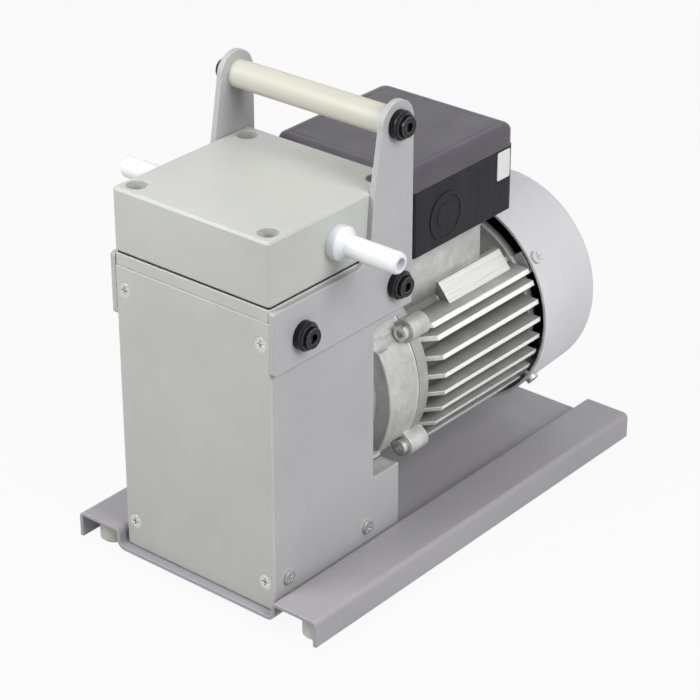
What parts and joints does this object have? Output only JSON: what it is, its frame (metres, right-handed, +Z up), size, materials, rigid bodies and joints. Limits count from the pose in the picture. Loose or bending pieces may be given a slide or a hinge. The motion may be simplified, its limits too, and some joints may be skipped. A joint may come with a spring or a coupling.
{
  "type": "diaphragm vacuum pump",
  "caption": "Bench diaphragm vacuum pump: square housing and valve head on a folded base, driven through an eccentric by a finned, fan-cooled electric motor, with a carrying handle.",
  "frame": {"origin": "on the surface that the feet stand on, under the middle of the base plate", "axes": "+X to the right of a person who faces the front cover, +Y to the back along the motor shaft, +Z up"},
  "size_m": [0.178, 0.269, 0.2528],
  "materials": {
    "base_paint": "satin grey paint",
    "foot_rubber": "off-white rubber",
    "zinc_steel": "zinc plated",
    "cast_aluminium": "as cast, lightly blasted",
    "housing_paint": "satin grey paint",
    "cover_paint": "satin warm grey paint",
    "black_rubber": "matt",
    "machined_aluminium": "machined",
    "white_plastic": "natural white",
    "cream_plastic": "satin cream",
    "steel": "ground",
    "gloss_black": "gloss black",
    "copper": "varnished wire",
    "cowl_paint": "silver grey paint",
    "black_plastic": "moulded black",
    "dark_grey_plastic": "fine textured"
  },
  "bodies": {
    "pump_body": {"base_plate": "base_paint", "rubber_feet": "foot_rubber", "base_bolts": "zinc_steel", "crankcase": "cast_aluminium", "side_panel_right": "housing_paint", "side_panel_left": "housing_paint", "front_cover": "cover_paint", "front_cover_screws": "zinc_steel", "side_screws": "zinc_steel", "deck_plate": "cover_paint", "deck_screws": "zinc_steel", "diaphragm": "black_rubber", "head_block": "cover_paint", "head_screws": "zinc_steel", "valve_plate": "machined_aluminium", "valve_plate_screws": "zinc_steel", "valve_studs": "zinc_steel", "inlet_nozzle": "white_plastic", "outlet_nozzle": "white_plastic", "handle_bracket_right": "housing_paint", "handle_bracket_left": "housing_paint", "handle_tube": "cream_plastic", "handle_rod": "steel", "bracket_cups": "gloss_black", "bracket_screws": "gloss_black", "front_end_shield": "cast_aluminium", "flange_bolts": "zinc_steel", "shield_bolts": "zinc_steel", "stator_housing": "cast_aluminium", "stator_core": "steel", "windings": "copper", "front_bearing": "steel", "rear_bearing": "steel", "rear_end_shield": "cast_aluminium", "fan_cowl": "cowl_paint", "cowl_screws": "zinc_steel", "terminal_box": "black_plastic", "box_screws": "zinc_steel", "terminal_box_lid": "dark_grey_plastic", "lid_screws": "zinc_steel", "terminal_block": "black_plastic", "capacitor": "black_plastic", "cable_gland": "black_plastic"},
    "crankshaft": {"motor_shaft": "steel", "rotor": "steel", "cooling_fan": "black_plastic", "eccentric": "machined_aluminium", "counterweight": "steel", "crank_screw": "zinc_steel"},
    "rod": {"connecting_rod": "machined_aluminium", "rod_bearing": "steel", "support_disc": "machined_aluminium", "clamping_disc": "machined_aluminium", "clamping_screw": "zinc_steel"},
    "inlet_valve": {"inlet_valve_disc": "black_rubber"},
    "outlet_valve": {"outlet_valve_disc": "black_rubber"}
  },
  "joints": [
    {"name": "shaft_spin", "type": "hinge", "parent": "pump_body", "child": "crankshaft", "pos_m": [0, 0, 0.0877], "axis": [0, 1, 0], "continuous": true, "deforming": ["diaphragm"]},
    {"name": "rod_pivot", "type": "hinge", "parent": "crankshaft", "child": "rod", "pos_m": [0, -0.081, 0.0917], "axis": [0, 1, 0], "continuous": true},
    {"name": "inlet_valve_lift", "type": "slide", "parent": "pump_body", "child": "inlet_valve", "axis": [0, 0, -1], "range_m": [0, 0.0009]},
    {"name": "outlet_valve_lift", "type": "slide", "parent": "pump_body", "child": "outlet_valve", "axis": [0, 0, 1], "range_m": [0, 0.0009]}
  ],
  "couplings": [
    {"joint": "rod_pivot", "follows": "shaft_spin", "ratio": -1}
  ]
}
